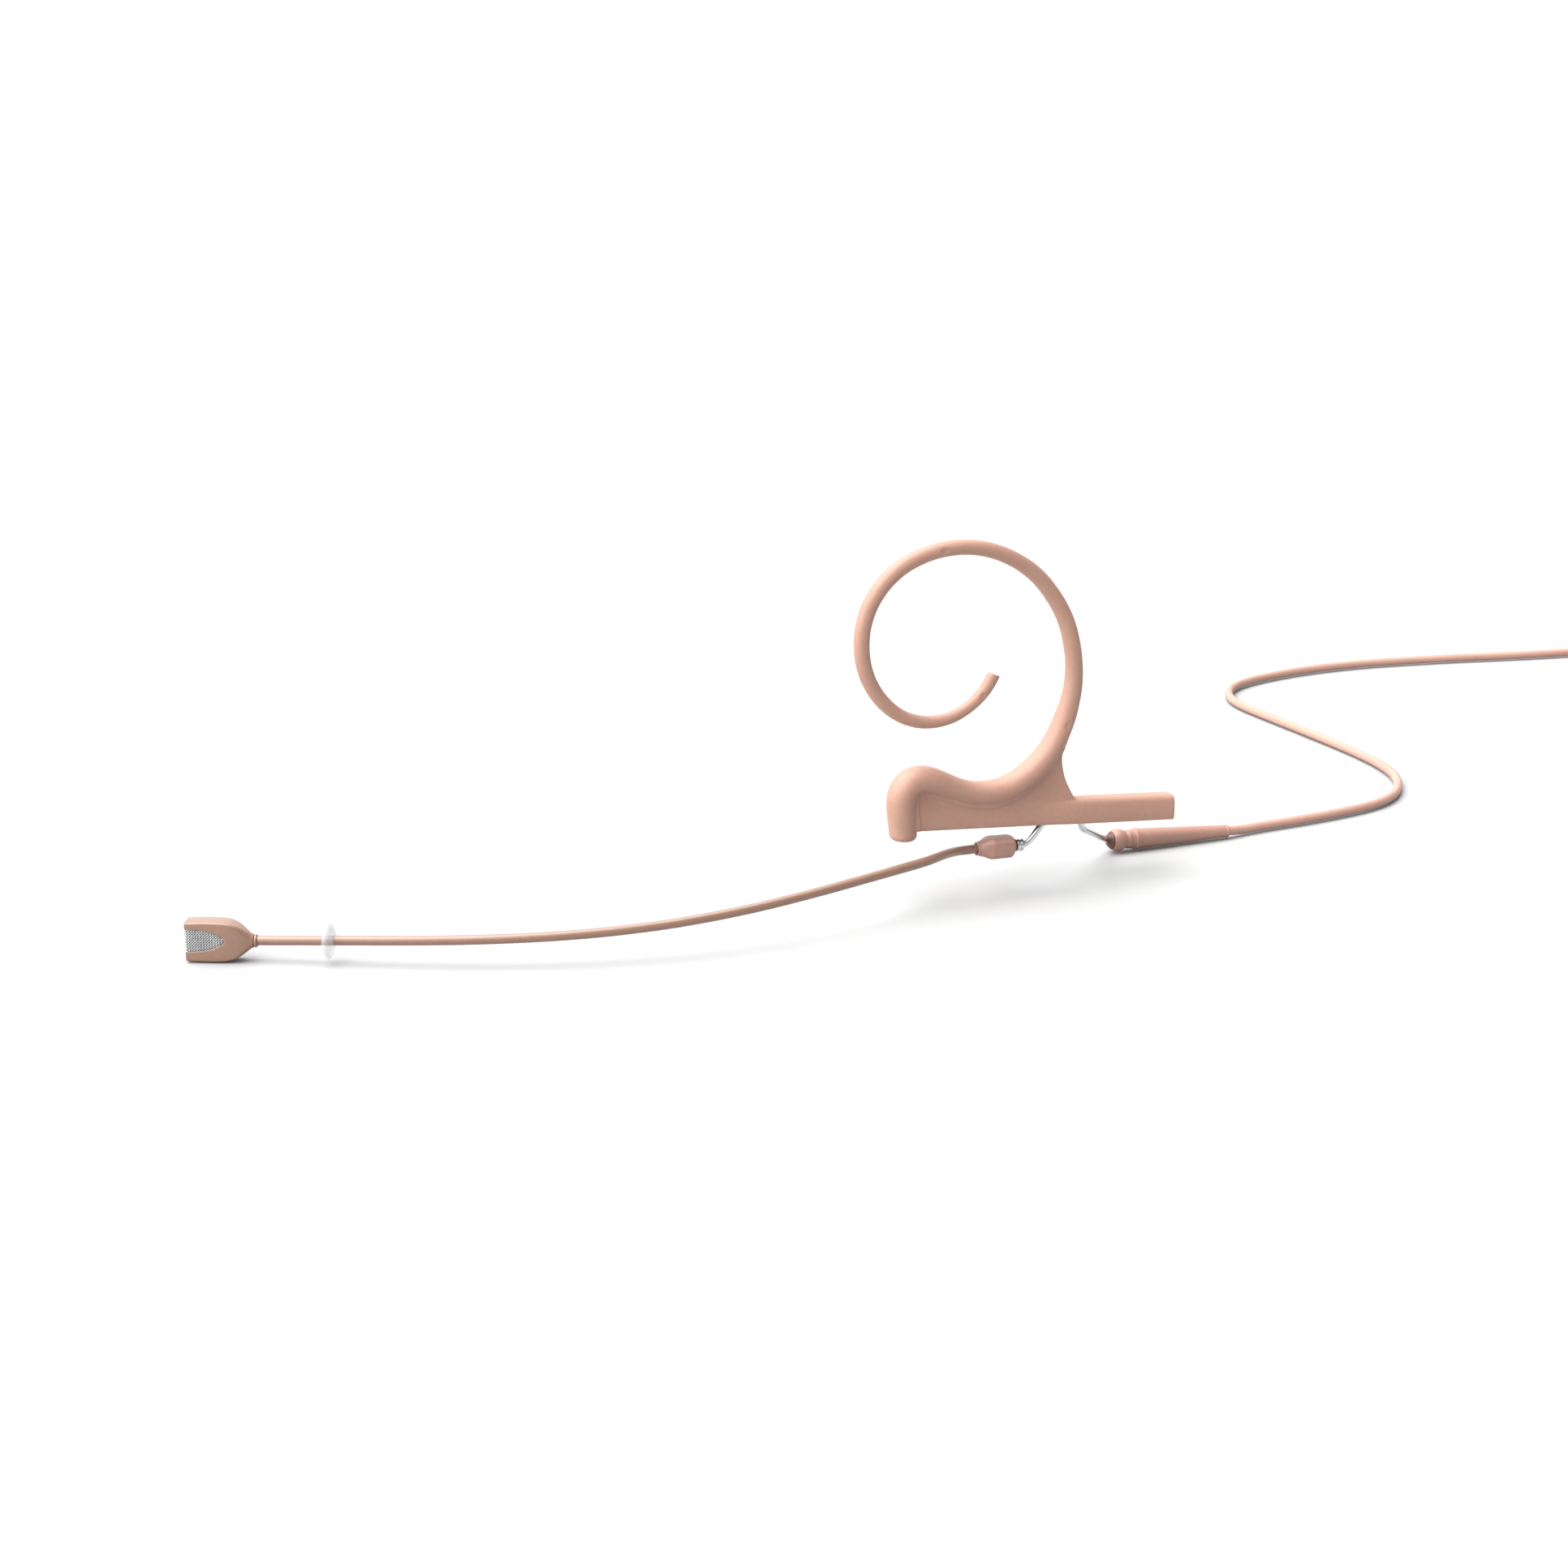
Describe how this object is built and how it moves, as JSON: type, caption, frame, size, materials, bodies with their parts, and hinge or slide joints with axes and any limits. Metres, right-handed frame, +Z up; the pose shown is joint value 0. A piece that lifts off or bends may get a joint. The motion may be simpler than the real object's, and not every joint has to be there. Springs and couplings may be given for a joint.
{
  "type": "headset microphone",
  "caption": "Single-ear headset microphone: silicone ear hook sliding and swivelling on a bent carrier tube, thin boom, mesh-windowed head, cable to a screw-on coaxial connector.",
  "frame": {"origin": "on the surface it lies on, under the middle of the headset without its cable and connector", "axes": "+X along the grip bar from the microphone head towards the cable, +Y towards the wearer's head, +Z up through the ear hook"},
  "size_m": [0.3201, 0.1094, 0.0547],
  "materials": {
    "silicone": "soft matte skin-tone silicone",
    "moulded_beige": "satin",
    "boom_enamel": "satin enamel",
    "bright_chrome": "polished",
    "nickel": "satin nickel",
    "spring_steel": "drawn",
    "steel_mesh": "woven wire",
    "lead_wire": "enamelled wire",
    "clear_ring": "clear soft plastic",
    "gold_contact": "gold plated",
    "circuit_board": "solder resist",
    "cable_jacket": "smooth satin",
    "tie_fabric": "woven hook-and-loop",
    "white_insulator": "smooth"
  },
  "bodies": {
    "boom_and_cable": {"carrier_tube": "bright_chrome", "boom_coupling": "moulded_beige", "boom_ferrule": "bright_chrome", "boom_tube": "boom_enamel", "boom_lead": "lead_wire", "mic_housing": "moulded_beige", "neck_collar": "moulded_beige", "mic_grille": "steel_mesh", "capsule_can": "spring_steel", "capsule_diaphragm": "gold_contact", "capsule_backplate": "spring_steel", "preamp_board": "circuit_board", "relief_nose": "moulded_beige", "crimp_sleeve": "spring_steel", "cable_relief": "moulded_beige", "cord_run": "cable_jacket", "cord_coil": "cable_jacket", "cord_tail": "cable_jacket", "cord_tie": "tie_fabric", "plug_boot": "moulded_beige", "plug_body": "nickel", "plug_insulator": "white_insulator", "plug_pin": "gold_contact"},
    "swivel_shoe": {"grip_shoe": "moulded_beige"},
    "hook": {"ear_hook": "silicone", "hook_core_wire": "spring_steel"},
    "drip_guard": {"drip_ring": "clear_ring"},
    "nut": {"coupling_nut": "nickel"}
  },
  "joints": [
    {"name": "hook_swivel", "type": "hinge", "parent": "boom_and_cable", "child": "swivel_shoe", "pos_m": [0.049, -0.0029, 0.00991], "axis": [0.9973, 0, -0.0733], "range_deg": [-15, 15]},
    {"name": "hook_slide", "type": "slide", "parent": "swivel_shoe", "child": "hook", "axis": [0.9973, 0, -0.0733], "range_m": [-0.012, 0.01]},
    {"name": "drip_ring_slide", "type": "slide", "parent": "boom_and_cable", "child": "drip_guard", "axis": [0.8694, -0.4928, 0.0361], "range_m": [-0.0035, 0.0035]},
    {"name": "connector_nut_turn", "type": "hinge", "parent": "boom_and_cable", "child": "nut", "pos_m": [0.22925, 0.04444, 0.00302], "axis": [-0.2419, -0.9703, 0], "continuous": true}
  ]
}
